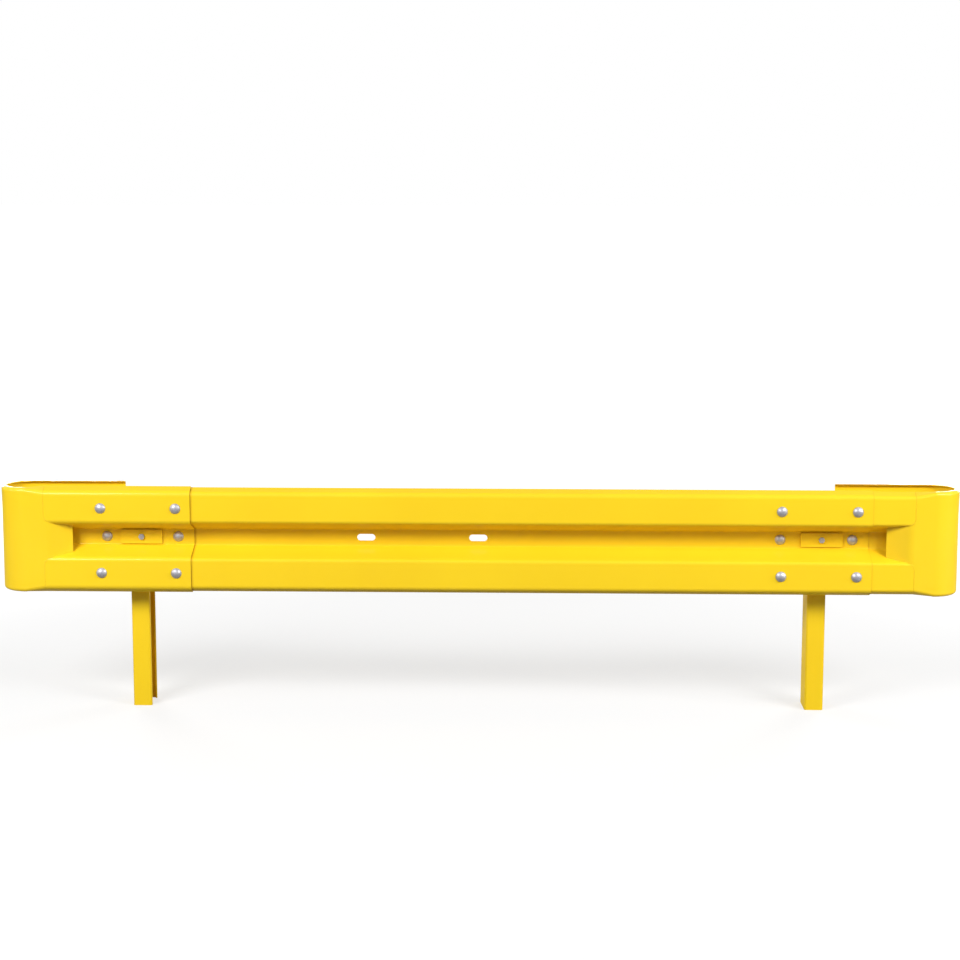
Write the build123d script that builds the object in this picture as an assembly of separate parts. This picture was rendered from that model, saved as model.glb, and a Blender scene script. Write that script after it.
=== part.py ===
from build123d import *
from math import cos, radians, tan
import os

# A steel guard rail: one pressed plank on two channel posts, lengthened at each end by a short
# section of the same pressing, which ends in a blunt nose turned back behind the rail.
# Sizes are in millimetres. X runs along the rail, the crests face -Y, and the feet stand at Z = 0.
# A sheet line is drawn on the front face of the middle plank. Parallel copies of it give the
# sheets that lie before and behind the plank at the laps.

# Pressed section, read on the front face of the plank
SHEET = 3.0
HALF_HEIGHT = 156.0
RIM_DEPTH = 30.0
RIM_RISE = 13.0
CREST_BOTTOM = 54.0
TROUGH_DEPTH = 78.0
FLOOR_HALF = 26.0
RIM_BEND = 15.0
CREST_BEND = 12.0
FLOOR_BEND = 6.0
TIGHTEST_BEND = 0.8

# Lengths along the rail
POST_PITCH = 2000.0
LAP_LENGTH = 308.0
LAP_GAP = 0.2
SEAM_PAST_LAP = 125.0
NOSE_FRONT_LENGTH = 59.0
NOSE_RETURN_LENGTH = 275.0

# Blunt nose: a flat band bent round in plan, whose front runs from the section's rims into narrow lips
NOSE_BEND = 79.0
NOSE_LIP = 13.0
NOSE_EDGE_BEND = 11.0

# Sloping plate that closes the trough beside each nose
RAMP_LENGTH = 78.5
RAMP_DROP = 34.0
RAMP_ROLL_START = 12.0
RAMP_ROLL_BEND = 55.0
WELD_GAP = 0.3

# Posts: lipped channels, open towards +X
RAIL_CENTRE_HEIGHT = 520.0
POST_TOP_ABOVE_RAIL_CENTRE = 110.0
POST_WIDTH = 55.0
POST_DEPTH = 100.0
POST_WALL = 4.0
POST_LIP = 12.0
POST_BEND = 6.0
POST_HOLE_OFF_CENTRE = 10.0

# Splice: four round-headed bolts through the crests and two through the trough floor
CREST_BOLT_FROM_LAP_END = 43.5
FLOOR_BOLT_FROM_LAP_END = 47.5
CREST_BOLT_BELOW_MIDDLE = 2.0
BOLT_DIAMETER = 16.0
BOLT_HEAD_DIAMETER = 31.0
BOLT_HEAD_HEIGHT = 9.0
BOLT_HEAD_RIM = 1.2
BOLT_HOLE_CLEARANCE = 1.5
NUT_ACROSS_FLATS = 24.0
NUT_HEIGHT = 13.0
WASHER_DIAMETER = 34.0
WASHER_THICKNESS = 3.0
WASHER_BORE_CLEARANCE = 0.75
THREAD_CLEARANCE = 0.1
BOLT_END_PROUD = 5.0
END_CHAMFER = 1.0

# Post fixing: a hexagon bolt through a cover plate, the trough floor and the post
POST_BOLT_DIAMETER = 10.0
POST_BOLT_HEAD_ACROSS_FLATS = 16.0
POST_BOLT_HEAD_HEIGHT = 6.4
POST_BOLT_HOLE_CLEARANCE = 0.5
POST_NUT_HEIGHT = 8.0
POST_WASHER_DIAMETER = 22.0
POST_WASHER_THICKNESS = 2.0
POST_BOLT_LEFT_SHIFT = -3.0
POST_BOLT_RIGHT_SHIFT = 16.0
COVER_FROM_BOLT_HEAD = 13.0
COVER_HEIGHT = 42.0
COVER_THICKNESS = 5.0
COVER_CORNER = 4.0
SLOT_WIDTH = 20.0
POST_SLOT_LENGTH = 60.0
SPARE_SLOT_LENGTH = 54.0
SPARE_SLOT_SPACING = POST_PITCH / 6

# Places that follow from the sizes above
CREST_TOP = HALF_HEIGHT - RIM_RISE
CREST_BOLT_HEIGHT = (CREST_TOP + CREST_BOTTOM) / 2 - CREST_BOLT_BELOW_MIDDLE
SPLICE_X = POST_PITCH / 2
SEAM_X = SPLICE_X + LAP_LENGTH / 2 + SEAM_PAST_LAP
CREST_BOLT_REACH = LAP_LENGTH / 2 - CREST_BOLT_FROM_LAP_END
FLOOR_BOLT_REACH = LAP_LENGTH / 2 - FLOOR_BOLT_FROM_LAP_END
COVER_LENGTH = 2 * (FLOOR_BOLT_REACH - BOLT_HEAD_DIAMETER / 2 - COVER_FROM_BOLT_HEAD - POST_BOLT_RIGHT_SHIFT)
LAP_STEP = SHEET + LAP_GAP
LEFT_LAYER = -LAP_STEP
PLANK_LAYER = 0.0
RIGHT_LAYER = LAP_STEP
FRONT_REACH = LAP_STEP + BOLT_HEAD_HEIGHT
BACK_REACH = TROUGH_DEPTH + LAP_STEP + SHEET + POST_DEPTH
CREST_Y = (FRONT_REACH - BACK_REACH) / 2
CUT_REACH = BACK_REACH + FRONT_REACH
LEFT, RIGHT = -1, 1

SECTION_LINE = [
    (RIM_DEPTH, HALF_HEIGHT),
    (0, CREST_TOP),
    (0, CREST_BOTTOM),
    (TROUGH_DEPTH, FLOOR_HALF),
    (TROUGH_DEPTH, -FLOOR_HALF),
    (0, -CREST_BOTTOM),
    (0, -CREST_TOP),
    (RIM_DEPTH, -HALF_HEIGHT),
]
SECTION_BENDS = [RIM_BEND, CREST_BEND, FLOOR_BEND, FLOOR_BEND, CREST_BEND, RIM_BEND]


def parallel_line(points, bends, distance):
    """A bent line moved to its left by distance, with each bend kept concentric."""
    corners = [Vector(*point) for point in points]
    runs = [(end - start).normalized() for start, end in zip(corners, corners[1:])]
    sides = [Vector(-run.Y, run.X) for run in runs]
    moved = [corners[0] + sides[0] * distance]
    radii = []
    for index, bend in enumerate(bends):
        before, after = sides[index], sides[index + 1]
        moved.append(corners[index + 1] + (before + after) * (distance / (1 + before.dot(after))))
        turn = runs[index].cross(runs[index + 1]).Z
        radii.append(max(bend - distance if turn > 0 else bend + distance, TIGHTEST_BEND))
    moved.append(corners[-1] + sides[-1] * distance)
    return FilletPolyline(*moved, radius=radii)


def bent_sheet(points, bends, near, far):
    """The flat outline between two parallel copies of a bent line."""
    one = parallel_line(points, bends, near)
    other = parallel_line(points, bends, far)
    return make_face([one, Line(one @ 1, other @ 1), other, Line(other @ 0, one @ 0)])


def across_rail(face, x, depth=0.0):
    """Stands an outline drawn in depth and height across the rail at one X."""
    return Plane(origin=(x, CREST_Y + depth, RAIL_CENTRE_HEIGHT), x_dir=(0, 1, 0), z_dir=(1, 0, 0)) * face


def along_rail(face, start, end, depth=0.0):
    """Runs an outline drawn in depth and height from one X to another."""
    return extrude(across_rail(face, start, depth), end - start, dir=(1, 0, 0))


def through(sketch, x, z, depth=-FRONT_REACH, reach=CUT_REACH):
    """A prism that runs backwards from a depth, for cuts and for flat pieces."""
    place = Plane(origin=(x, CREST_Y + depth, RAIL_CENTRE_HEIGHT + z), x_dir=(1, 0, 0), z_dir=(0, -1, 0))
    return extrude(place * sketch, -reach)


def splice_spots(side):
    """Name, X, Z and front-face depth of the six bolts of one splice."""
    spots = []
    for end_name, end in (("outer", side), ("inner", -side)):
        crest_x = side * SPLICE_X + end * CREST_BOLT_REACH
        floor_x = side * SPLICE_X + end * FLOOR_BOLT_REACH
        spots.append((f"top_{end_name}", crest_x, CREST_BOLT_HEIGHT, 0.0))
        spots.append((f"middle_{end_name}", floor_x, 0.0, TROUGH_DEPTH))
        spots.append((f"bottom_{end_name}", crest_x, -CREST_BOLT_HEIGHT, 0.0))
    return spots


def post_bolt_x(side):
    return side * SPLICE_X + (POST_BOLT_LEFT_SHIFT if side == LEFT else POST_BOLT_RIGHT_SHIFT)


def splice_layers(side):
    """Depths of the front and back faces of the two lapped sheets, from the crest line."""
    front = LEFT_LAYER if side == LEFT else PLANK_LAYER
    back = PLANK_LAYER if side == LEFT else RIGHT_LAYER
    return front, back + SHEET


def splice_cuts(side):
    """Bolt holes and the long hole for the post bolt, shared by the lapped sheets."""
    hole = Circle(BOLT_DIAMETER / 2 + BOLT_HOLE_CLEARANCE)
    cuts = [through(hole, x, z) for _, x, z, _ in splice_spots(side)]
    cuts.append(through(SlotOverall(POST_SLOT_LENGTH, SLOT_WIDTH), side * SPLICE_X, 0.0))
    return cuts


def pressed_length(layer, start, end):
    return along_rail(bent_sheet(SECTION_LINE, SECTION_BENDS, layer, layer + SHEET), start, end)


def make_plank():
    reach = SPLICE_X + LAP_LENGTH / 2
    plank = pressed_length(PLANK_LAYER, -reach, reach)
    spare = SlotOverall(SPARE_SLOT_LENGTH, SLOT_WIDTH)
    cuts = [through(spare, -SPARE_SLOT_SPACING * place, 0.0) for place in range(2)]
    return plank - splice_cuts(LEFT) - splice_cuts(RIGHT) - cuts


def make_end_section(side):
    layer = LEFT_LAYER if side == LEFT else RIGHT_LAYER
    inner = side * (SPLICE_X - LAP_LENGTH / 2)
    start, end = sorted((inner, side * SEAM_X))
    return pressed_length(layer, start, end) - splice_cuts(side)


def make_nose(side):
    """A band bent round in plan, drawn at the right and mirrored for the left."""
    layer = LEFT_LAYER if side == LEFT else RIGHT_LAYER
    rim_line = SECTION_LINE[:2] + SECTION_LINE[-2:]
    lip_line = [(NOSE_LIP, HALF_HEIGHT), (0, HALF_HEIGHT), (0, -HALF_HEIGHT), (NOSE_LIP, -HALF_HEIGHT)]
    rimmed = bent_sheet(rim_line, [RIM_BEND, RIM_BEND], layer, layer + SHEET)
    band = bent_sheet(lip_line, [NOSE_EDGE_BEND, NOSE_EDGE_BEND], 0.0, SHEET)
    bend_x = SEAM_X + NOSE_FRONT_LENGTH
    lipped = across_rail(band, bend_x, layer)
    front = loft([across_rail(rimmed, SEAM_X), lipped])
    centre = Axis((bend_x, CREST_Y + layer + NOSE_BEND, 0), (0, 0, 1))
    turn = revolve(lipped, centre, 180)
    back = along_rail(mirror(band, about=Plane.YZ), bend_x - NOSE_RETURN_LENGTH, bend_x, layer + 2 * NOSE_BEND)
    nose = front + turn + back
    return nose if side == RIGHT else mirror(nose, about=Plane.YZ)


def make_trough_closure(side):
    """A ramp rolled over at its start, trimmed to the trough it is welded into."""
    layer = LEFT_LAYER if side == LEFT else RIGHT_LAYER
    crest_y = CREST_Y + layer
    ramp_line = [
        (SEAM_X + RAMP_ROLL_START, crest_y),
        (SEAM_X - RAMP_ROLL_START, crest_y),
        (SEAM_X - RAMP_LENGTH, crest_y + RAMP_DROP),
    ]
    strip = bent_sheet(ramp_line, [RAMP_ROLL_BEND], -SHEET, 0.0)
    mouth_half = CREST_BOTTOM + CREST_BEND
    plate = extrude(Pos(0, 0, RAIL_CENTRE_HEIGHT - mouth_half) * strip, 2 * mouth_half)
    wall = parallel_line(SECTION_LINE, SECTION_BENDS, layer - WELD_GAP)
    open_side = -FRONT_REACH - SHEET
    top_front = Vector(open_side, (wall @ 0).Y)
    bottom_front = Vector(open_side, (wall @ 1).Y)
    space = make_face([wall, Polyline(wall @ 1, bottom_front, top_front, wall @ 0)])
    room = along_rail(space, SPLICE_X, SEAM_X)
    behind_crest = through(Rectangle(POST_PITCH, 2 * mouth_half), SPLICE_X, 0.0, layer)
    closure = plate & room & behind_crest
    return closure if side == RIGHT else mirror(closure, about=Plane.YZ)


def make_post(side):
    """A lipped channel, seated on the back of the trough floor."""
    _, back = splice_layers(side)
    half = POST_WIDTH / 2
    line = [
        (half, POST_LIP),
        (half, 0),
        (-half, 0),
        (-half, POST_DEPTH),
        (half, POST_DEPTH),
        (half, POST_DEPTH - POST_LIP),
    ]
    outline = bent_sheet(line, [POST_BEND] * 4, -POST_WALL, 0.0)
    front_y = CREST_Y + TROUGH_DEPTH + back
    centre_x = post_bolt_x(side) - POST_HOLE_OFF_CENTRE
    post = extrude(Pos(centre_x, front_y, 0) * outline, RAIL_CENTRE_HEIGHT + POST_TOP_ABOVE_RAIL_CENTRE)
    hole = Circle(POST_BOLT_DIAMETER / 2 + POST_BOLT_HOLE_CLEARANCE)
    return post - through(hole, post_bolt_x(side), 0.0, TROUGH_DEPTH + back - SHEET, POST_WALL + 2 * SHEET)


def facing_back(solid, x, z, depth):
    """Stands a solid drawn along +Z so that it points backwards from a depth."""
    place = Plane(origin=(x, CREST_Y + depth, RAIL_CENTRE_HEIGHT + z), x_dir=(1, 0, 0), z_dir=(0, 1, 0))
    return place * solid


def make_washer(outer, bore, thickness):
    return extrude(Circle(outer / 2) - Circle(bore / 2), thickness)


def turned_hexagon(across_flats, height):
    """A hexagon whose corners are turned off at thirty degrees at both ends."""
    flat = across_flats / 2
    corner = flat / cos(radians(30))
    drop = (corner - flat) * tan(radians(30))
    outline = Polyline(
        (0, 0), (flat, 0), (corner, drop), (corner, height - drop), (flat, height), (0, height), (0, 0)
    )
    turned = revolve(Plane.XZ * make_face(outline), Axis.Z, 360)
    return extrude(RegularPolygon(flat, 6, major_radius=False), height) & turned


def make_nut(across_flats, diameter, height):
    bore = extrude(Circle(diameter / 2 + THREAD_CLEARANCE), height)
    return turned_hexagon(across_flats, height) - bore


def make_shank(diameter, length):
    """A plain shank from the head's seat, with a chamfered end."""
    radius = diameter / 2
    outline = Polyline(
        (0, 0), (radius, 0), (radius, length - END_CHAMFER), (radius - END_CHAMFER, length), (0, length), (0, 0)
    )
    return revolve(Plane.XZ * make_face(outline), Axis.Z, 360)


def make_round_bolt(grip):
    """A domed head with a short upright rim, on a plain shank."""
    radius = BOLT_HEAD_DIAMETER / 2
    rise = BOLT_HEAD_HEIGHT - BOLT_HEAD_RIM
    sphere = (radius**2 + rise**2) / (2 * rise)
    half_way = radius / 2
    sag = sphere - (sphere**2 - half_way**2) ** 0.5
    dome = ThreePointArc((radius, -BOLT_HEAD_RIM), (half_way, sag - BOLT_HEAD_HEIGHT), (0, -BOLT_HEAD_HEIGHT))
    seat = Polyline((0, -BOLT_HEAD_HEIGHT), (0, 0), (radius, 0), (radius, -BOLT_HEAD_RIM))
    head = revolve(Plane.XZ * make_face([dome, seat]), Axis.Z, 360)
    return head + make_shank(BOLT_DIAMETER, grip + BOLT_END_PROUD)


def make_hexagon_bolt(grip):
    head = Pos(0, 0, -POST_BOLT_HEAD_HEIGHT) * turned_hexagon(POST_BOLT_HEAD_ACROSS_FLATS, POST_BOLT_HEAD_HEIGHT)
    return head + make_shank(POST_BOLT_DIAMETER, grip + BOLT_END_PROUD)


def make_cover(side):
    """A small plate with rounded corners that spans the long hole in the trough floor."""
    front, _ = splice_layers(side)
    outline = RectangleRounded(COVER_LENGTH, COVER_HEIGHT, COVER_CORNER)
    hole = Circle(POST_BOLT_DIAMETER / 2 + POST_BOLT_HOLE_CLEARANCE)
    return through(outline - hole, post_bolt_x(side), 0.0, TROUGH_DEPTH + front - COVER_THICKNESS, COVER_THICKNESS)


def splice_fasteners(side, side_name):
    """Bolt, washer and nut at each of the six holes, heads at the front."""
    front, back = splice_layers(side)
    grip = back - front + WASHER_THICKNESS + NUT_HEIGHT
    bolt = make_round_bolt(grip)
    washer = make_washer(WASHER_DIAMETER, BOLT_DIAMETER + 2 * WASHER_BORE_CLEARANCE, WASHER_THICKNESS)
    nut = make_nut(NUT_ACROSS_FLATS, BOLT_DIAMETER, NUT_HEIGHT)
    made = {}
    for spot, x, z, depth in splice_spots(side):
        made[f"{side_name}_bolt_{spot}"] = facing_back(bolt, x, z, depth + front)
        made[f"{side_name}_washer_{spot}"] = facing_back(washer, x, z, depth + back)
        made[f"{side_name}_nut_{spot}"] = facing_back(nut, x, z, depth + back + WASHER_THICKNESS)
    return made


def post_fasteners(side, side_name):
    """The hexagon bolt, washer and nut that hold the rail to one post."""
    front, back = splice_layers(side)
    x = post_bolt_x(side)
    head_seat = TROUGH_DEPTH + front - COVER_THICKNESS
    washer_seat = TROUGH_DEPTH + back + POST_WALL
    nut_seat = washer_seat + POST_WASHER_THICKNESS
    bore = POST_BOLT_DIAMETER + 2 * POST_BOLT_HOLE_CLEARANCE
    bolt = make_hexagon_bolt(nut_seat + POST_NUT_HEIGHT - head_seat)
    washer = make_washer(POST_WASHER_DIAMETER, bore, POST_WASHER_THICKNESS)
    nut = make_nut(POST_BOLT_HEAD_ACROSS_FLATS, POST_BOLT_DIAMETER, POST_NUT_HEIGHT)
    return {
        f"{side_name}_post_bolt": facing_back(bolt, x, 0.0, head_seat),
        f"{side_name}_post_washer": facing_back(washer, x, 0.0, washer_seat),
        f"{side_name}_post_nut": facing_back(nut, x, 0.0, nut_seat),
    }


def make_side(side, side_name):
    pieces = {
        f"{side_name}_end_section": make_end_section(side),
        f"{side_name}_trough_closure": make_trough_closure(side),
        f"{side_name}_nose": make_nose(side),
        f"{side_name}_post": make_post(side),
        f"{side_name}_cover_plate": make_cover(side),
    }
    return pieces | splice_fasteners(side, side_name) | post_fasteners(side, side_name)


pieces = {"plank": make_plank()} | make_side(LEFT, "left") | make_side(RIGHT, "right")
os.makedirs("parts", exist_ok=True)
for name, piece in pieces.items():
    export_step(piece, f"parts/{name}.step")
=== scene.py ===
import math
import bpy
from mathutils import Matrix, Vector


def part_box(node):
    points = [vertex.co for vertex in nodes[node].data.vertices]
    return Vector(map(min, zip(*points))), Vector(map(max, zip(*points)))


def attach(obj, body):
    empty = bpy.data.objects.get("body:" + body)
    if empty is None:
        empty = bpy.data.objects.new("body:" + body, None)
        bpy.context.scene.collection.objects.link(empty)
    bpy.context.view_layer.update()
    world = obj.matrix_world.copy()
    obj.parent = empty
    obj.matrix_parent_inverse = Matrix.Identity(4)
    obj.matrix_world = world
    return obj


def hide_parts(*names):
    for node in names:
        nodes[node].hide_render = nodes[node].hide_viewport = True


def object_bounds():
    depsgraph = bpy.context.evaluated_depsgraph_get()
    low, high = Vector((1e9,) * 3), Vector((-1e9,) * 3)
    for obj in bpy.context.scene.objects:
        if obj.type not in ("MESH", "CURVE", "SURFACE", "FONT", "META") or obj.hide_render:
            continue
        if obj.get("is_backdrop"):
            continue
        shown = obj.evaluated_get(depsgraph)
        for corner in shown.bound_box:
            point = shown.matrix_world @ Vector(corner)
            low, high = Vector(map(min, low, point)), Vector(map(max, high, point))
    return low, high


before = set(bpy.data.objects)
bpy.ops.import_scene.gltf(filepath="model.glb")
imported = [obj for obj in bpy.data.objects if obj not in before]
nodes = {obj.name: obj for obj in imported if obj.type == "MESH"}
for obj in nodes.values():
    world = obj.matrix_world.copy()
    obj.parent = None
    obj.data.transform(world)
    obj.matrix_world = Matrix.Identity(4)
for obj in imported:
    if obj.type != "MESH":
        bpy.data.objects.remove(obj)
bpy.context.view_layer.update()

# Posts. Two lipped channels, cold formed from 4 mm steel strip, cut square, drilled for one bolt
# each, and powder coated traffic yellow: an even half-gloss skin, slightly cloudy in thickness,
# with an orange peel about two millimetres wide. Their insides get painted shade.
YELLOW = (0.885, 0.605, 0.014)
YELLOW_THIN = (0.83, 0.535, 0.010)
# The dark yellow below is painted in as shade inside the posts, at the laps and along cut edges,
# and in speckles on the weld beads.
YELLOW_DARK = (0.34, 0.15, 0.003)
PAINT_GLOSS = 0.22
PAINT_GLOSS_ROUGHNESS = 0.14
PAINT_SPECULAR = 0.12
PAINT_ROUGHNESS = (0.46, 0.56)
NOISE_MIDDLE = (0.3, 0.7)
FINE_DETAIL = 2.0
CLOUD_DETAIL = 4.0
CLOUD_SCALE = 3.2
CLOUD_RANGE = (0.35, 0.75)
CLOUD_SHARE = 0.55
PEEL_SCALE = 420.0
PEEL_DISTANCE = 0.0004
PEEL_STRENGTH = 0.10
POST_BEND = 0.006
INSIDE_FACING = 0.7
INSIDE_PAINTED_SHADE = 0.30


def ranged(tree, value, low, high, to_low, to_high, smooth=False):
    """Carries a value from one range over to another, held at both ends."""
    node = tree.nodes.new("ShaderNodeMapRange")
    node.interpolation_type = "SMOOTHSTEP" if smooth else "LINEAR"
    limits = {"From Min": low, "From Max": high, "To Min": to_low, "To Max": to_high}
    for name, number in limits.items():
        node.inputs[name].default_value = number
    tree.links.new(value, node.inputs["Value"])
    return node.outputs["Result"]


def calculated(tree, operation, first, second):
    """One sum on a value with a number or another value."""
    node = tree.nodes.new("ShaderNodeMath")
    node.operation = operation
    for socket, given in zip(node.inputs, (first, second)):
        if isinstance(given, float):
            socket.default_value = given
        else:
            tree.links.new(given, socket)
    return node.outputs["Value"]


def mixed(tree, factor, first, second):
    """A colour between two colours, each a triple or a socket."""
    node = tree.nodes.new("ShaderNodeMix")
    node.data_type = "RGBA"
    tree.links.new(factor, node.inputs[0])
    for socket, given in ((node.inputs[6], first), (node.inputs[7], second)):
        if isinstance(given, tuple):
            socket.default_value = (*given, 1)
        else:
            tree.links.new(given, socket)
    return node.outputs[2]


def grained(tree, scale, detail=FINE_DETAIL):
    """Fixed noise in the object's own space."""
    place = tree.nodes.new("ShaderNodeTexCoord")
    noise = tree.nodes.new("ShaderNodeTexNoise")
    noise.inputs["Scale"].default_value = scale
    noise.inputs["Detail"].default_value = detail
    tree.links.new(place.outputs["Object"], noise.inputs["Vector"])
    return noise.outputs["Fac"]


def raised(tree, height, strength, distance, shader):
    """Relief from a height, on the surface of a shader."""
    bump = tree.nodes.new("ShaderNodeBump")
    bump.inputs["Strength"].default_value = strength
    bump.inputs["Distance"].default_value = distance
    tree.links.new(height, bump.inputs["Height"])
    tree.links.new(bump.outputs["Normal"], shader.inputs["Normal"])


def powder_coat(name, gloss=PAINT_GLOSS):
    """Traffic yellow powder on steel, a little thinner in cloudy patches."""
    paint = bpy.data.materials.new(name)
    paint.use_nodes = True
    tree = paint.node_tree
    shader = tree.nodes["Principled BSDF"]
    shader.inputs["Coat Weight"].default_value = gloss
    shader.inputs["Coat Roughness"].default_value = PAINT_GLOSS_ROUGHNESS
    shader.inputs["Specular IOR Level"].default_value = PAINT_SPECULAR
    cloud = grained(tree, CLOUD_SCALE, CLOUD_DETAIL)
    thinner = ranged(tree, cloud, *CLOUD_RANGE, 0.0, CLOUD_SHARE)
    tree.links.new(mixed(tree, thinner, YELLOW, YELLOW_THIN), shader.inputs["Base Color"])
    roughness = ranged(tree, cloud, *NOISE_MIDDLE, *PAINT_ROUGHNESS)
    tree.links.new(roughness, shader.inputs["Roughness"])
    raised(tree, grained(tree, PEEL_SCALE), PEEL_STRENGTH, PEEL_DISTANCE, shader)
    return paint


def place_and_facing(tree):
    """Where a point of the surface lies and which way it faces, each as X, Y and Z."""
    given = tree.nodes.new("ShaderNodeTexCoord")
    place = tree.nodes.new("ShaderNodeSeparateXYZ")
    facing = tree.nodes.new("ShaderNodeSeparateXYZ")
    tree.links.new(given.outputs["Object"], place.inputs["Vector"])
    tree.links.new(given.outputs["Normal"], facing.inputs["Vector"])
    return place.outputs, facing.outputs


def darkened(paint, share):
    """Turns a paint towards the dark yellow, as far as a share says."""
    tree = paint.node_tree
    colour = tree.nodes["Principled BSDF"].inputs["Base Color"]
    before = colour.links[0].from_socket
    tree.links.new(mixed(tree, share, before, YELLOW_DARK), colour)


def paint_shade_inside(paint, front_y, strength):
    """Paints shade inside a channel, on what faces its open side or its front wall."""
    tree = paint.node_tree
    place, facing = place_and_facing(tree)
    behind = calculated(tree, "GREATER_THAN", place["Y"], front_y + POST_BEND)
    forwards = calculated(tree, "LESS_THAN", facing["Y"], -INSIDE_FACING)
    sideways = calculated(tree, "GREATER_THAN", facing["X"], INSIDE_FACING)
    either = calculated(tree, "MAXIMUM", forwards, sideways)
    inside = calculated(tree, "MULTIPLY", behind, either)
    darkened(paint, calculated(tree, "MULTIPLY", inside, strength))


post_paint = powder_coat("post_powder_coat")
# Painted shade: the posts' insides are painted darker where the front flange shades them.
paint_shade_inside(post_paint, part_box("left_post")[0].y, INSIDE_PAINTED_SHADE)
for name in ("left_post", "right_post"):
    nodes[name].material_slots[0].material = post_paint

# Plank. One length of 3 mm steel sheet, roll formed to two flat crests and a deep flat trough,
# punched with spare slots and bolt holes, then powder coated. The left end section laps over its
# front, and a painted shadow darkens the plank along that edge.
JOINT_WIDTH = 0.008
JOINT_PAINTED_SHADOW = 0.7
FRONT_FACING = -0.05
END_FACING = 0.9
SPECKLE_SCALE = 60.0
SPECKLE_LEAST = 0.75


def paint_joint_shadow(paint, dark_x, clear_x, strength, on_cut_end=False):
    """Paints a speckled shadow line across the rail, darkest at one X and gone at another."""
    tree = paint.node_tree
    place, facing = place_and_facing(tree)
    line = ranged(tree, place["X"], dark_x, clear_x, strength, 0.0)
    if on_cut_end:
        side = calculated(tree, "GREATER_THAN", facing["X"], END_FACING)
    else:
        side = calculated(tree, "LESS_THAN", facing["Y"], FRONT_FACING)
    speckle = ranged(tree, grained(tree, SPECKLE_SCALE), *NOISE_MIDDLE, SPECKLE_LEAST, 1.0)
    line_there = calculated(tree, "MULTIPLY", line, side)
    darkened(paint, calculated(tree, "MULTIPLY", line_there, speckle))


left_lap_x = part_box("left_end_section")[1].x
plank_paint = powder_coat("plank_powder_coat")
# Painted shadow: the plank is painted darker along the left end section's edge.
paint_joint_shadow(plank_paint, left_lap_x, left_lap_x + JOINT_WIDTH, JOINT_PAINTED_SHADOW)
nodes["plank"].material_slots[0].material = plank_paint

# End sections. Short pieces of the same pressing that lap with the plank, the left one in front
# and the right one behind. The left one's cut end gets painted shade, and the right one a painted
# shadow beside the end of the plank.
END_DARK, END_CLEAR = 0.0002, 0.001
CUT_END_PAINTED_SHADE = 0.6
RIGHT_JOINT_PAINTED_SHADOW = 0.25

left_section_paint = powder_coat("left_section_powder_coat")
# Painted shade on the left section's cut end, and a painted shadow on the right one beside the
# plank's end.
paint_joint_shadow(
    left_section_paint, left_lap_x - END_DARK, left_lap_x - END_CLEAR, CUT_END_PAINTED_SHADE, on_cut_end=True
)
nodes["left_end_section"].material_slots[0].material = left_section_paint
right_lap_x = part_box("plank")[1].x
right_section_paint = powder_coat("right_section_powder_coat")
paint_joint_shadow(right_section_paint, right_lap_x, right_lap_x + JOINT_WIDTH / 2, RIGHT_JOINT_PAINTED_SHADOW)
nodes["right_end_section"].material_slots[0].material = right_section_paint

# Noses and trough closures. Each nose is a flat band of 3 mm sheet bent round in plan, with narrow
# lips whose cut edges get painted shade, and each closure is a ramp rolled over at its start. They
# are welded to the end sections and coated with them.
NOSE_GLOSS = 0.42
NOSE_DEPTH = 0.158
NOSE_LIP = 0.013
LIP_LINE_DARK, LIP_LINE_CLEAR = 0.0006, 0.0012
LIP_EDGE_FACING = -0.9
LIP_EDGE_PAINTED_SHADE = 0.65


def paint_lip_edge_shade(paint, edge_y, strength):
    """Paints shade on the cut edges of the lips at the back, which face forwards."""
    tree = paint.node_tree
    place, facing = place_and_facing(tree)
    off = calculated(tree, "SUBTRACT", place["Y"], edge_y)
    off = calculated(tree, "ABSOLUTE", off, 0.0)
    line = ranged(tree, off, LIP_LINE_DARK, LIP_LINE_CLEAR, strength, 0.0)
    forwards = calculated(tree, "LESS_THAN", facing["Y"], LIP_EDGE_FACING)
    darkened(paint, calculated(tree, "MULTIPLY", line, forwards))


for side_name in ("left", "right"):
    nose = side_name + "_nose"
    nose_paint = powder_coat(nose + "_powder_coat", NOSE_GLOSS)
    # Painted shade on the forward-facing cut edges of the lips.
    paint_lip_edge_shade(nose_paint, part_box(nose)[0].y + NOSE_DEPTH - NOSE_LIP, LIP_EDGE_PAINTED_SHADE)
    nodes[nose].material_slots[0].material = nose_paint
closure_paint = powder_coat("closure_powder_coat", NOSE_GLOSS)
for name in ("left_trough_closure", "right_trough_closure"):
    nodes[name].material_slots[0].material = closure_paint

# Welds. A flush bead joins each nose to its end section, from the rims across the crests, and
# rounds the corner into the trough, where it goes on as a fillet between the closure and the
# wall. The beads are laid by hand before painting, so the ripples show through the coat.
RIM_DEPTH = 0.030
RIM_RISE = 0.013
HALF_HEIGHT = 0.156
CREST_BOTTOM = 0.054
TROUGH_DEPTH = 0.078
FLOOR_HALF = 0.026
RIM_BEND = 0.015
CREST_BEND = 0.012
SHEET_LAYER = {"left": -0.0032, "right": 0.0032}
RAMP_LENGTH = 0.0785
RAMP_DROP = 0.034
RAMP_ROLL_START = 0.012
RAMP_ROLL_BEND = 0.055
RIM_END_CLEAR = 0.007
SEAM_CORNER = 0.024
SEAM_STRAIGHT = SEAM_CORNER * 1.2
SEAM_ENDS = 0.017
SEAM_RADIUS = 0.0011
FILLET_RADIUS = 0.0016
FILLET_END_CLEAR = 0.0008
FILLET_STEPS = 32
CORNER_STEP = math.radians(6)
BEAD_SINK = 0.0004
BEAD_SIDES = 8
RIPPLE_PITCH = 0.0022
RIPPLE_DEPTH = 0.07
RIPPLE_STEPS = 4.0
WELD_SHADE = 0.22


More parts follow.
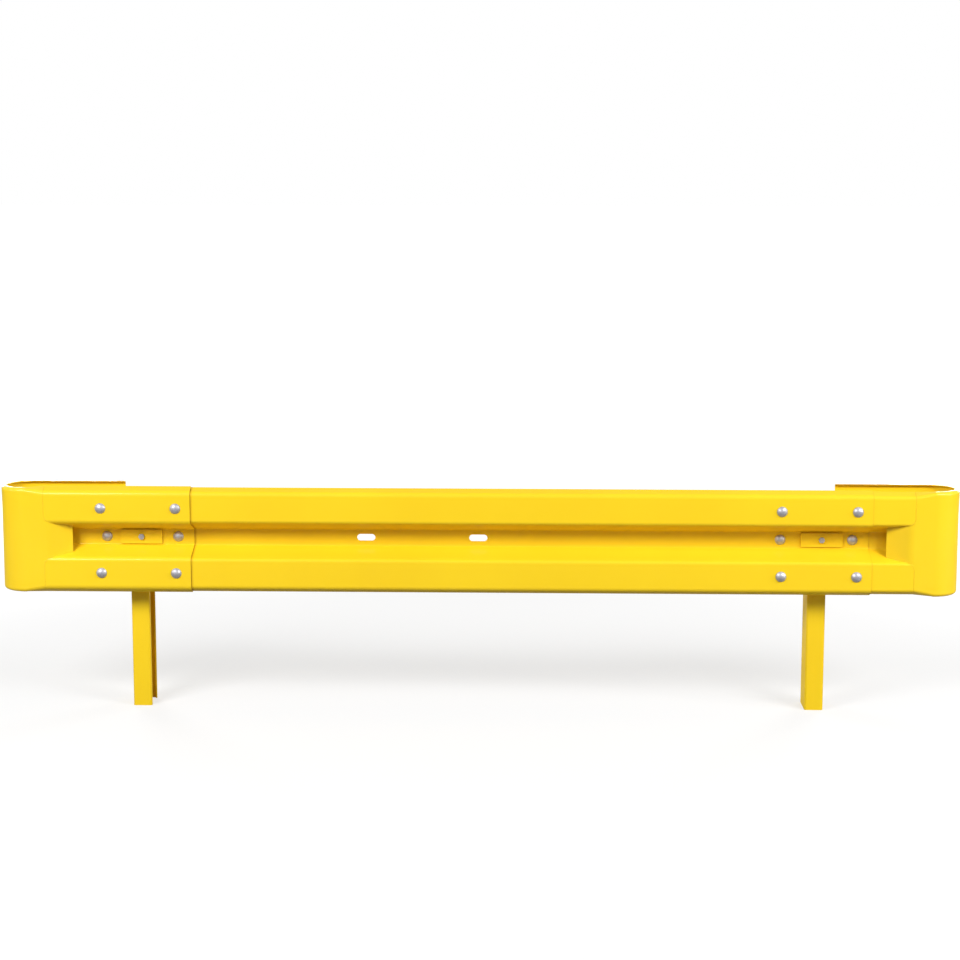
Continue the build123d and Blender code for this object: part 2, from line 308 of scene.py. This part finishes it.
def moved_corner(before, corner, after, out):
    """A corner of the pressed line, moved to the layer that a sheet lies in."""
    first = (corner - before).normalized()
    second = (after - corner).normalized()
    side_one, side_two = Vector((-first.y, first.x)), Vector((-second.y, second.x))
    return corner + (side_one + side_two) * (out / (1 + side_one.dot(side_two)))


def rounded(corners, radii):
    """Points of a line in space whose corners are rounded off."""
    points = [corners[0]]
    for before, corner, after, radius in zip(corners, corners[1:], corners[2:], radii):
        back = (before - corner).normalized()
        on = (after - corner).normalized()
        turn = math.pi - back.angle(on)
        reach = radius * math.tan(turn / 2)
        centre = corner + (back + on).normalized() * (radius / math.cos(turn / 2))
        start = corner + back * reach - centre
        end = corner + on * reach - centre
        count = max(2, math.ceil(turn / CORNER_STEP))
        for index in range(count + 1):
            points.append(centre + start.slerp(end, index / count) * radius)
    return points + [corners[-1]]


def ramp_depth(inward):
    """How deep the closure's face lies, at a distance inward from the seam."""
    slope = math.atan2(RAMP_DROP, RAMP_LENGTH - RAMP_ROLL_START)
    reach = RAMP_ROLL_BEND * math.tan(slope / 2)
    rolled = inward - RAMP_ROLL_START + reach
    if rolled <= 0:
        return 0.0
    if rolled <= RAMP_ROLL_BEND * math.sin(slope):
        return RAMP_ROLL_BEND - math.sqrt(RAMP_ROLL_BEND ** 2 - rolled ** 2)
    return (inward - RAMP_ROLL_START) * math.tan(slope)


def bead_paths(side_name, side):
    """The seam and the fillets of one end, as lines on the front faces, in metres."""
    out = SHEET_LAYER[side_name]
    low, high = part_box(side_name + "_end_section")
    seam_x, crest_y, middle_z = (low.x if side < 0 else high.x), low.y, (low.z + high.z) / 2
    rim_back, rim_top, crest_end, trough_end = [Vector(point) for point in (
        (RIM_DEPTH, HALF_HEIGHT),
        (0, HALF_HEIGHT - RIM_RISE),
        (0, CREST_BOTTOM),
        (TROUGH_DEPTH, FLOOR_HALF),
    )]
    rim = moved_corner(rim_back, rim_top, crest_end, out)
    mouth = moved_corner(rim_top, crest_end, trough_end, out)
    up_rim = rim_back - rim_top
    rim_end = rim + up_rim.normalized() * (up_rim.length - RIM_END_CLEAR)
    wall = (trough_end - crest_end).normalized()
    bend = CREST_BEND - out
    fold = Vector((0, -1)).angle(wall)
    bend_top = mouth + Vector((0, 1)) * bend * math.tan(fold / 2)
    bend_depth = bend * (1 - math.cos(fold))

    def on_section(run):
        """Depth and height at a length along the section, from the crest's lower bend on."""
        angle = min(max(run, 0.0) / bend, fold)
        in_bend = Vector((bend * (1 - math.cos(angle)), -bend * math.sin(angle)))
        above = Vector((0, max(-run, 0.0)))
        return bend_top + in_bend + wall * max(run - bend * fold, 0.0) + above

    def joint_run(inward):
        """The length along the section at which the closure meets it, at a distance inward."""
        depth = ramp_depth(inward)
        angle = math.acos(max(1 - depth / bend, -1.0)) if depth < bend_depth else fold
        return bend * angle + max(depth - bend_depth, 0.0) / wall.x

    def placed(inward, point, end):
        """A depth and height of the section, as a place in the rail's upper or lower half."""
        y = crest_y + point.x - out + BEAD_SINK
        return Vector((seam_x - side * inward, y, middle_z + end * point.y))

    corner = [(0.0, -SEAM_STRAIGHT), (0.0, joint_run(0.0)), (SEAM_ENDS, joint_run(SEAM_ENDS))]
    turn = rounded([Vector((*point, 0.0)) for point in corner], [SEAM_CORNER])
    fillet_length = RAMP_LENGTH - FILLET_END_CLEAR - SEAM_ENDS
    seams, fillets = [], []
    for end in (1, -1):
        down = [placed(0.0, point, end) for point in (rim_end, rim, on_section(-SEAM_STRAIGHT))]
        seam = rounded(down, [RIM_BEND - out])[:-1]
        seams.append(seam + [placed(point.x, on_section(point.y), end) for point in turn])
        fillet = []
        for index in range(FILLET_STEPS + 1):
            inward = SEAM_ENDS - FILLET_RADIUS + fillet_length * index / FILLET_STEPS
            fillet.append(placed(inward, on_section(joint_run(inward)), end))
        fillets.append(fillet)
    return seams, fillets


def line_mesh(name, lines):
    """A mesh of edges alone, one chain of them for each line of points."""
    points = [point for line in lines for point in line]
    edges, start = [], 0
    for line in lines:
        edges += [(start + index, start + index + 1) for index in range(len(line) - 1)]
        start += len(line)
    mesh = bpy.data.meshes.new(name)
    mesh.from_pydata(points, edges, [])
    return mesh


def node_with(tree, node_type, **values):
    """A node with its plain values set."""
    node = tree.nodes.new(node_type)
    for name, value in values.items():
        setattr(node, name, value)
    return node


def named_inputs(tree, rows):
    """Gives a node tree its named inputs, and returns their identifiers."""
    for in_out in ("OUTPUT", "INPUT"):
        tree.interface.new_socket(name="Geometry", in_out=in_out, socket_type="NodeSocketGeometry")
    kinds = {
        "size": "NodeSocketFloat",
        "material": "NodeSocketMaterial",
        "object": "NodeSocketObject",
    }
    identifiers = {}
    for name, kind in rows:
        socket = tree.interface.new_socket(name=name, in_out="INPUT", socket_type=kinds[kind])
        identifiers[name] = socket.identifier
    return identifiers


def bead_tree():
    """Sweeps a rippled bead along a line of edges."""
    tree = bpy.data.node_groups.new("weld_bead", "GeometryNodeTree")
    keys = named_inputs(tree, (
        ("Radius", "size"),
        ("Ripple Pitch", "size"),
        ("Ripple Depth", "size"),
        ("Paint", "material"),
    ))
    given = tree.nodes.new("NodeGroupInput")
    result = tree.nodes.new("NodeGroupOutput")
    curve = tree.nodes.new("GeometryNodeMeshToCurve")
    spaced = node_with(tree, "GeometryNodeResampleCurve", mode="LENGTH")
    along = tree.nodes.new("GeometryNodeSplineParameter")
    round_line = tree.nodes.new("GeometryNodeCurvePrimitiveCircle")
    sweep = tree.nodes.new("GeometryNodeCurveToMesh")
    whole = tree.nodes.new("GeometryNodeRealizeInstances")
    coat = tree.nodes.new("GeometryNodeSetMaterial")
    round_line.inputs["Resolution"].default_value = BEAD_SIDES
    sweep.inputs["Fill Caps"].default_value = True
    step = calculated(tree, "DIVIDE", given.outputs["Ripple Pitch"], RIPPLE_STEPS)
    ripples = calculated(tree, "DIVIDE", along.outputs["Length"], given.outputs["Ripple Pitch"])
    phase = calculated(tree, "MULTIPLY", ripples, 2 * math.pi)
    wave = calculated(tree, "SINE", phase, 0.0)
    swell = calculated(tree, "MULTIPLY", wave, given.outputs["Ripple Depth"])
    swell = calculated(tree, "ADD", swell, 1.0)
    for one, other in (
        (given.outputs["Geometry"], curve.inputs["Mesh"]),
        (curve.outputs["Curve"], spaced.inputs["Curve"]),
        (step, spaced.inputs["Length"]),
        (spaced.outputs["Curve"], sweep.inputs["Curve"]),
        (given.outputs["Radius"], round_line.inputs["Radius"]),
        (round_line.outputs["Curve"], sweep.inputs["Profile Curve"]),
        (swell, sweep.inputs["Scale"]),
        (sweep.outputs["Mesh"], whole.inputs["Geometry"]),
        (whole.outputs["Geometry"], coat.inputs["Geometry"]),
        (given.outputs["Paint"], coat.inputs["Material"]),
        (coat.outputs["Geometry"], result.inputs["Geometry"]),
    ):
        tree.links.new(one, other)
    return tree, keys


def made_by_nodes(name, mesh, tree, keys, values):
    """Runs a node tree on a mesh, and keeps the result as a plain mesh."""
    piece = bpy.data.objects.new(name, mesh)
    bpy.context.scene.collection.objects.link(piece)
    maker = piece.modifiers.new("maker", "NODES")
    maker.node_group = tree
    for label, value in values.items():
        maker[keys[label]] = value
    bpy.context.view_layer.update()
    settled = piece.evaluated_get(bpy.context.evaluated_depsgraph_get())
    baked = bpy.data.meshes.new_from_object(settled)
    piece.modifiers.clear()
    piece.data = baked
    baked.name = name
    return piece


weld_tree, weld_keys = bead_tree()
weld_paint = powder_coat("weld_powder_coat")
weld_speckle = grained(weld_paint.node_tree, SPECKLE_SCALE)
darkened(
    weld_paint,
    ranged(weld_paint.node_tree, weld_speckle, *NOISE_MIDDLE, WELD_SHADE / 2, WELD_SHADE),
)
for side_name, side in (("left", -1), ("right", 1)):
    seams, fillets = bead_paths(side_name, side)
    for kind, lines, radius in (
        ("seam_weld", seams, SEAM_RADIUS),
        ("closure_welds", fillets, FILLET_RADIUS),
    ):
        name = f"{side_name}_{kind}"
        weld = made_by_nodes(name, line_mesh(name, lines), weld_tree, weld_keys, {
            "Radius": radius,
            "Ripple Pitch": RIPPLE_PITCH,
            "Ripple Depth": RIPPLE_DEPTH,
            "Paint": weld_paint,
        })
        weld.data.polygons.foreach_set("use_smooth", [True] * len(weld.data.polygons))
        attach(weld, "root")

# Cover plates. Small 5 mm plates with rounded corners, cut from flat bar and coated with the rail.
# Each spans the long hole under the head of one post bolt, and its cut edges get painted shade.
EDGE_DARK, EDGE_CLEAR = 0.5, 0.7
CUT_EDGE_PAINTED_SHADE = 0.55


def paint_cut_edge_shade(paint, strength):
    """Paints shade on the cut edges of a plate that faces forwards."""
    tree = paint.node_tree
    facing = place_and_facing(tree)[1]
    across = calculated(tree, "ABSOLUTE", facing["Y"], 0.0)
    darkened(paint, ranged(tree, across, EDGE_DARK, EDGE_CLEAR, strength, 0.0))


cover_paint = powder_coat("cover_powder_coat")
# Painted shade on the cut edges of the plates.
paint_cut_edge_shade(cover_paint, CUT_EDGE_PAINTED_SHADE)
for name in ("left_cover_plate", "right_cover_plate"):
    nodes[name].material_slots[0].material = cover_paint

# Splice bolts. Six at each post: round-headed steel bolts of 16 mm, forged and hot-dip
# galvanised, which leaves them dull grey and faintly cloudy. The rolled thread shows past the nut.
HEAD_DIAMETER = 0.031
HEAD_HEIGHT = 0.009
HEAD_RIM = 0.0012
HEAD_EDGE = 0.0005
HEAD_STEPS = 14
SHANK_RADIUS = 0.008
SHANK_LENGTH = 0.0274
END_CHAMFER = 0.001
THREAD_PITCH = 0.002
THREAD_DEPTH = 0.0011
THREAD_STARTS = 0.0205
THREAD_STEPS = 6
BOLT_SIDES = 40
SHARP_EDGE = math.radians(40)
ZINC_DULL = (0.34, 0.335, 0.37)
ZINC_BRIGHT = (0.46, 0.455, 0.49)
ZINC_METALLIC = 0.55
ZINC_ROUGHNESS = (0.52, 0.38)
ZINC_CLOUD_SCALE = 95.0
ZINC_CLOUD_RANGE = (0.35, 0.65)
ZINC_GRAIN_SCALE = 900.0
ZINC_GRAIN_STRENGTH = 0.12
ZINC_GRAIN_DISTANCE = 0.0002


def galvanised(name, cloud_scale):
    """Hot-dip zinc: dull grey, cloudy, with a faint grain."""
    zinc = bpy.data.materials.new(name)
    zinc.use_nodes = True
    tree = zinc.node_tree
    shader = tree.nodes["Principled BSDF"]
    shader.inputs["Metallic"].default_value = ZINC_METALLIC
    cloud = grained(tree, cloud_scale, CLOUD_DETAIL)
    brighter = ranged(tree, cloud, *ZINC_CLOUD_RANGE, 0.0, 1.0)
    tree.links.new(mixed(tree, brighter, ZINC_DULL, ZINC_BRIGHT), shader.inputs["Base Color"])
    roughness = ranged(tree, cloud, *NOISE_MIDDLE, *ZINC_ROUGHNESS)
    tree.links.new(roughness, shader.inputs["Roughness"])
    grain = grained(tree, ZINC_GRAIN_SCALE)
    raised(tree, grain, ZINC_GRAIN_STRENGTH, ZINC_GRAIN_DISTANCE, shader)
    return zinc


def lathe(name, outline):
    """A turned mesh from radius and height pairs, closed on its axis at both ends."""
    points, faces, rings = [], [], []
    for radius, height in outline:
        if radius == 0:
            rings.append([len(points)] * BOLT_SIDES)
            points.append((0.0, 0.0, height))
            continue
        rings.append(list(range(len(points), len(points) + BOLT_SIDES)))
        for index in range(BOLT_SIDES):
            angle = 2 * math.pi * index / BOLT_SIDES
            points.append((radius * math.cos(angle), radius * math.sin(angle), height))
    for lower, upper in zip(rings, rings[1:]):
        for index in range(BOLT_SIDES):
            after = (index + 1) % BOLT_SIDES
            face = [lower[index], lower[after], upper[after], upper[index]]
            faces.append(list(dict.fromkeys(face)))
    mesh = bpy.data.meshes.new(name)
    mesh.from_pydata(points, [], faces)
    mesh.validate()
    mesh.polygons.foreach_set("use_smooth", [True] * len(mesh.polygons))
    mesh.set_sharp_from_angle(angle=SHARP_EDGE)
    return mesh


def bolt_outline():
    """Half outline of the bolt from the top of its head to its end, the head's seat at zero."""
    radius, rise = HEAD_DIAMETER / 2, HEAD_HEIGHT - HEAD_RIM
    sphere = (radius ** 2 + rise ** 2) / (2 * rise)
    widest = math.asin(radius / sphere)
    outline = []
    for index in range(HEAD_STEPS):
        angle = widest * index / HEAD_STEPS
        outline.append((sphere * math.sin(angle), sphere * (1 - math.cos(angle)) - HEAD_HEIGHT))
    # A short facet breaks the head's edge at its rim, and another one at its seat.
    outline += [
        (radius - HEAD_EDGE * 0.3, -HEAD_RIM - HEAD_EDGE * 0.1),
        (radius, -HEAD_RIM + HEAD_EDGE * 0.3),
        (radius, -HEAD_EDGE * 0.4),
        (radius - HEAD_EDGE * 0.4, 0.0),
        (SHANK_RADIUS, 0.0),
    ]
    threaded = SHANK_LENGTH - END_CHAMFER - THREAD_STARTS
    for index in range(math.floor(threaded / THREAD_PITCH * THREAD_STEPS) + 1):
        outline.append((SHANK_RADIUS, THREAD_STARTS + index * THREAD_PITCH / THREAD_STEPS))
    return outline + [(SHANK_RADIUS - END_CHAMFER, SHANK_LENGTH), (0, SHANK_LENGTH)]


def bolt_tree():
    """Rolls a thread on a blank, and sets one finished bolt at every point, head to the front."""
    tree = bpy.data.node_groups.new("splice_bolts", "GeometryNodeTree")
    keys = named_inputs(tree, (
        ("Blank", "object"),
        ("Pitch", "size"),
        ("Depth", "size"),
        ("Thread Starts", "size"),
        ("Zinc", "material"),
    ))
    given = tree.nodes.new("NodeGroupInput")
    result = tree.nodes.new("NodeGroupOutput")
    blank = tree.nodes.new("GeometryNodeObjectInfo")
    place = tree.nodes.new("GeometryNodeInputPosition")
    split = tree.nodes.new("ShaderNodeSeparateXYZ")
    flat = tree.nodes.new("ShaderNodeCombineXYZ")
    outward = node_with(tree, "ShaderNodeVectorMath", operation="NORMALIZE")
    scaled = node_with(tree, "ShaderNodeVectorMath", operation="SCALE")
    rolled = tree.nodes.new("GeometryNodeSetPosition")
    sets = tree.nodes.new("GeometryNodeInstanceOnPoints")
    whole = tree.nodes.new("GeometryNodeRealizeInstances")
    coat = tree.nodes.new("GeometryNodeSetMaterial")
    sets.inputs["Rotation"].default_value = (-math.pi / 2, 0.0, 0.0)
    x, y, z = split.outputs
    # The groove follows the turns along the shank, less the turn round it, and is one pitch wide.
    turn = calculated(tree, "DIVIDE", calculated(tree, "ARCTAN2", y, x), 2 * math.pi)
    turns = calculated(tree, "DIVIDE", z, given.outputs["Pitch"])
    turns = calculated(tree, "SUBTRACT", turns, turn)
    groove = calculated(tree, "MULTIPLY", calculated(tree, "PINGPONG", turns, 0.5), -2.0)
    sink = calculated(tree, "MULTIPLY", groove, given.outputs["Depth"])
    threaded = calculated(tree, "GREATER_THAN", z, given.outputs["Thread Starts"])
    before_end = calculated(tree, "LESS_THAN", z, SHANK_LENGTH - END_CHAMFER / 2)
    for one, other in (
        (place.outputs["Position"], split.inputs["Vector"]),
        (x, flat.inputs["X"]),
        (y, flat.inputs["Y"]),
        (flat.outputs["Vector"], outward.inputs[0]),
        (outward.outputs["Vector"], scaled.inputs[0]),
        (sink, scaled.inputs["Scale"]),
        (given.outputs["Blank"], blank.inputs["Object"]),
        (blank.outputs["Geometry"], rolled.inputs["Geometry"]),
        (calculated(tree, "MULTIPLY", threaded, before_end), rolled.inputs["Selection"]),
        (scaled.outputs["Vector"], rolled.inputs["Offset"]),
        (given.outputs["Geometry"], sets.inputs["Points"]),
        (rolled.outputs["Geometry"], sets.inputs["Instance"]),
        (sets.outputs["Instances"], whole.inputs["Geometry"]),
        (whole.outputs["Geometry"], coat.inputs["Geometry"]),
        (given.outputs["Zinc"], coat.inputs["Material"]),
        (coat.outputs["Geometry"], result.inputs["Geometry"]),
    ):
        tree.links.new(one, other)
    return tree, keys


bolt_zinc = galvanised("bolt_zinc", ZINC_CLOUD_SCALE)
thread_tree, thread_keys = bolt_tree()
blank = bpy.data.objects.new("bolt_blank", lathe("bolt_blank", bolt_outline()))
blank.data.materials.append(bolt_zinc)
bpy.context.scene.collection.objects.link(blank)
for side_name in ("left", "right"):
    replaced = [name for name in nodes if name.startswith(side_name + "_bolt_")]
    seats = []
    for name in replaced:
        low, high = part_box(name)
        seats.append(((low.x + high.x) / 2, low.y + HEAD_HEIGHT, (low.z + high.z) / 2))
    points = bpy.data.meshes.new(side_name + "_bolt_seats")
    points.from_pydata(seats, [], [])
    bolts = made_by_nodes(side_name + "_splice_bolts", points, thread_tree, thread_keys, {
        "Blank": blank,
        "Pitch": THREAD_PITCH,
        "Depth": THREAD_DEPTH,
        "Thread Starts": THREAD_STARTS,
        "Zinc": bolt_zinc,
    })
    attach(bolts, "root")
    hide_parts(*replaced)
bpy.data.objects.remove(blank)

# Nuts and washers, and the hexagon bolts that hold the rail to its posts. All are stock steel
# fasteners, galvanised like the splice bolts, with a slightly finer cloud, and run up tight on
# the back of the sheets.
NUT_CLOUD_SCALE = 107.0
WASHER_CLOUD_SCALE = 120.0

nut_zinc = galvanised("nut_zinc", NUT_CLOUD_SCALE)
washer_zinc = galvanised("washer_zinc", WASHER_CLOUD_SCALE)
for name, node in nodes.items():
    if "_washer" in name:
        node.material_slots[0].material = washer_zinc
    elif "_nut" in name or name.endswith("_post_bolt"):
        node.material_slots[0].material = nut_zinc

# Floor. A plain white sheet that keeps a faint shadow under the rail and runs on, a little
# brighter, until it meets the white behind it without an edge.
FLOOR_HALF_SIZE = 60.0
FLOOR_WHITE = (0.28, 0.28, 0.28)
FLOOR_ROUGHNESS = 0.9
FLOOR_NEAR_GLOW = 0.65
FLOOR_NEAR, FLOOR_FAR = 1.6, 5.8

far = FLOOR_HALF_SIZE
corners = [(-far, -far, 0), (far, -far, 0), (far, far, 0), (-far, far, 0)]
floor_mesh = bpy.data.meshes.new("floor")
floor_mesh.from_pydata(corners, [], [(0, 1, 2, 3)])
floor = bpy.data.objects.new("floor", floor_mesh)
bpy.context.scene.collection.objects.link(floor)
floor_white = bpy.data.materials.new("floor_white")
floor_white.use_nodes = True
tree = floor_white.node_tree
sheet = tree.nodes["Principled BSDF"]
sheet.inputs["Base Color"].default_value = (*FLOOR_WHITE, 1)
sheet.inputs["Roughness"].default_value = FLOOR_ROUGHNESS
sheet.inputs["Specular IOR Level"].default_value = 0.0
place = tree.nodes.new("ShaderNodeTexCoord")
away = node_with(tree, "ShaderNodeVectorMath", operation="LENGTH")
tree.links.new(place.outputs["Object"], away.inputs[0])
glow_level = ranged(
    tree, away.outputs["Value"], FLOOR_NEAR, FLOOR_FAR, FLOOR_NEAR_GLOW, 1.0, smooth=True
)
rays = tree.nodes.new("ShaderNodeLightPath")
glow = tree.nodes.new("ShaderNodeEmission")
seen_glow = calculated(tree, "MULTIPLY", glow_level, rays.outputs["Is Camera Ray"])
tree.links.new(seen_glow, glow.inputs["Strength"])
both = tree.nodes.new("ShaderNodeAddShader")
tree.links.new(sheet.outputs[0], both.inputs[0])
tree.links.new(glow.outputs[0], both.inputs[1])
tree.links.new(both.outputs[0], tree.nodes["Material Output"].inputs["Surface"])
floor_mesh.materials.append(floor_white)
floor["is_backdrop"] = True

# Studio. A plain room with white walls all round, which the camera and the reflections see,
# and which gives almost no light of its own.
STUDIO_FILL = 0.03

studio = bpy.data.worlds.new("studio")
bpy.context.scene.world = studio
studio.use_nodes = True
tree = studio.node_tree
tree.nodes.clear()
rays = tree.nodes.new("ShaderNodeLightPath")
seen = calculated(tree, "MAXIMUM", rays.outputs["Is Camera Ray"], rays.outputs["Is Glossy Ray"])
seen = calculated(tree, "MAXIMUM", seen, rays.outputs["Is Transmission Ray"])
white = tree.nodes.new("ShaderNodeBackground")
white.inputs["Color"].default_value = (1, 1, 1, 1)
tree.links.new(ranged(tree, seen, 0.0, 1.0, STUDIO_FILL, 1.0), white.inputs["Strength"])
end = tree.nodes.new("ShaderNodeOutputWorld")
tree.links.new(white.outputs["Background"], end.inputs["Surface"])

# Lamps. Two large softboxes high in front, a narrow one low at each side, and two behind that
# light the backs of the sheets. Each is turned to a point part of the way out along the rail.
LAMP_DISTANCE = 4.6
LAMP_AIM_HEIGHT = 0.52
LAMP_AIM_SHARE = 0.35
LAMPS = (
    # name, azimuth, elevation, width, height, energy
    ("left_softbox", -41.0, 30.0, 1.9, 1.3, 176.0),
    ("right_softbox", 52.0, 30.0, 1.9, 1.3, 150.0),
    ("left_strip", -75.0, 12.0, 0.8, 1.6, 14.0),
    ("right_strip", 75.0, 12.0, 0.8, 1.6, 46.0),
    ("rear_left_softbox", -145.0, 8.0, 1.6, 1.2, 120.0),
    ("rear_right_softbox", 145.0, 8.0, 1.6, 1.2, 120.0),
)
for name, azimuth, elevation, width, height, energy in LAMPS:
    lamp = bpy.data.lights.new(name, "AREA")
    lamp.shape = "RECTANGLE"
    lamp.size, lamp.size_y = width, height
    lamp.energy = energy
    softbox = bpy.data.objects.new(name, lamp)
    bpy.context.scene.collection.objects.link(softbox)
    turned, lifted = math.radians(azimuth), math.radians(elevation)
    softbox.location = (
        LAMP_DISTANCE * math.cos(lifted) * math.sin(turned),
        -LAMP_DISTANCE * math.cos(lifted) * math.cos(turned),
        LAMP_AIM_HEIGHT + LAMP_DISTANCE * math.sin(lifted),
    )
    target = Vector((LAMP_AIM_SHARE * softbox.location.x, 0.0, LAMP_AIM_HEIGHT))
    softbox.rotation_euler = (target - softbox.location).to_track_quat("-Z", "Y").to_euler()

# Camera. Almost square on, a little right of the middle, a good six metres in front of the rail
# and looking slightly down on it.
PIXELS = 960
FOCAL_PIXELS = 2129.2
SENSOR = 36.0
CAMERA_PLACE = (0.16177, -6.2321, 1.65389)
YAW, PITCH, ROLL = -0.0252, 0.15294, 0.00119

eye = bpy.data.cameras.new("camera")
eye.sensor_width = SENSOR
eye.lens = FOCAL_PIXELS / PIXELS * SENSOR
camera = bpy.data.objects.new("camera", eye)
bpy.context.scene.collection.objects.link(camera)
camera.location = CAMERA_PLACE
turned = Matrix.Rotation(-YAW, 3, "Z") @ Matrix.Rotation(math.pi / 2 - PITCH, 3, "X")
camera.rotation_euler = (turned @ Matrix.Rotation(ROLL, 3, "Z")).to_euler()
bpy.context.scene.camera = camera
bpy.context.scene.view_settings.view_transform = "Standard"

low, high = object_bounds()
